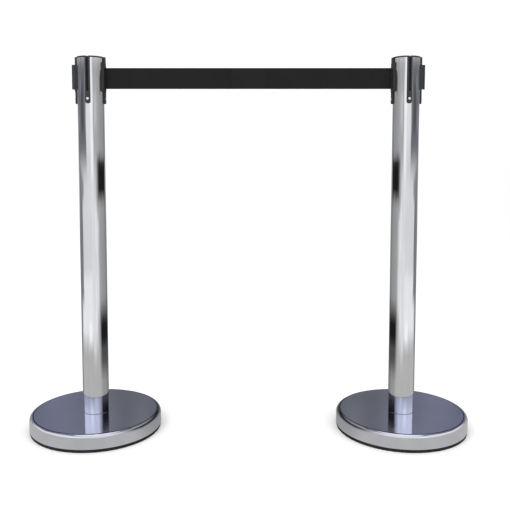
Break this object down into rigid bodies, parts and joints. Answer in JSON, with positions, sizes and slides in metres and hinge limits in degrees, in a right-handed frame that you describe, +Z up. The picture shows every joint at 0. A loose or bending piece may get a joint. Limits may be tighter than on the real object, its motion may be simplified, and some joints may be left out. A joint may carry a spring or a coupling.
{
  "type": "retractable belt stanchion",
  "caption": "Chrome barrier posts on weighted round bases, joined by a flat belt that draws out of a sprung cassette in a head with receiver slots",
  "frame": {"origin": "on the floor, half way between the two post axes", "axes": "+Z up, +X from the feeding post to the receiving post, the belt in the XZ plane; the front receivers face -Y"},
  "size_m": [1.08, 0.32, 0.91],
  "materials": {
    "chrome": "mirror-polished chrome plate",
    "black_plastic": "fine moulded grain",
    "grey_plastic": "fine moulded grain",
    "black_rubber": "matt moulded rubber",
    "cast_iron": "as cast",
    "zinc_steel": "bright zinc plate",
    "spring_steel": "blued strip",
    "black_webbing": "plain-woven polyester webbing"
  },
  "bodies": {
    "left_post": {"left_base_cover": "chrome", "left_base_weight": "cast_iron", "left_belt": "black_webbing", "left_belt_outlet": "black_plastic", "left_bolt_washer": "zinc_steel", "left_foot_plug": "zinc_steel", "left_head_core": "black_plastic", "left_mainspring": "spring_steel", "left_post_tube": "chrome", "left_receiver_back": "black_plastic", "left_receiver_front": "black_plastic", "left_receiver_outer": "black_plastic", "left_rubber_pad": "black_rubber", "left_screw_back": "zinc_steel", "left_screw_front": "zinc_steel", "left_screw_left": "zinc_steel", "left_screw_right": "zinc_steel", "left_spindle": "zinc_steel", "left_tie_bolt": "zinc_steel", "left_top_cap": "black_plastic"},
    "left_spool": {"left_drum": "grey_plastic", "left_spring_lid": "zinc_steel", "left_belt_roll": "black_webbing"},
    "parked_clip": {"left_parked_clip": "grey_plastic"},
    "right_post": {"right_base_cover": "chrome", "right_base_weight": "cast_iron", "right_belt": "black_webbing", "right_belt_outlet": "black_plastic", "right_belt_receiver": "black_plastic", "right_bolt_washer": "zinc_steel", "right_foot_plug": "zinc_steel", "right_head_core": "black_plastic", "right_mainspring": "spring_steel", "right_post_tube": "chrome", "right_receiver_back": "black_plastic", "right_receiver_front": "black_plastic", "right_rubber_pad": "black_rubber", "right_screw_back": "zinc_steel", "right_screw_front": "zinc_steel", "right_screw_left": "zinc_steel", "right_screw_right": "zinc_steel", "right_spindle": "zinc_steel", "right_tie_bolt": "zinc_steel", "right_top_cap": "black_plastic"},
    "right_spool": {"right_drum": "grey_plastic", "right_spring_lid": "zinc_steel", "right_belt_roll": "black_webbing"},
    "left_belt_end": {"left_belt_clip": "black_plastic"},
    "right_belt_end": {"right_belt_clip": "grey_plastic"}
  },
  "joints": [
    {"name": "post_spacing", "type": "slide", "parent": "left_post", "child": "right_post", "axis": [1, 0, 0], "range_m": [-0.4, 1.22], "deforming": ["left_belt"]},
    {"name": "left_spool_turn", "type": "hinge", "parent": "left_post", "child": "left_spool", "pos_m": [-0.38, 0, 0.859], "axis": [0, 0, 1], "range_deg": [-4800, 1600]},
    {"name": "belt_end_lift", "type": "slide", "parent": "right_post", "child": "left_belt_end", "axis": [0, 0, 1], "range_m": [0, 0.084]},
    {"name": "parked_clip_lift", "type": "slide", "parent": "left_post", "child": "parked_clip", "axis": [0, 0, 1], "range_m": [0, 0.084]},
    {"name": "right_belt_pull", "type": "slide", "parent": "right_post", "child": "right_belt_end", "axis": [1, 0, 0], "range_m": [0, 1.95], "stiffness_N_per_m": 2, "springref_m": -2, "deforming": ["right_belt"]},
    {"name": "right_spool_turn", "type": "hinge", "parent": "right_post", "child": "right_spool", "pos_m": [0.38, 0, 0.859], "axis": [0, 0, 1], "range_deg": [-6500, 0]}
  ],
  "couplings": [
    {"joint": "left_spool_turn", "follows": "post_spacing", "rad_per_m": -68},
    {"joint": "right_spool_turn", "follows": "right_belt_pull", "rad_per_m": -56.8}
  ]
}
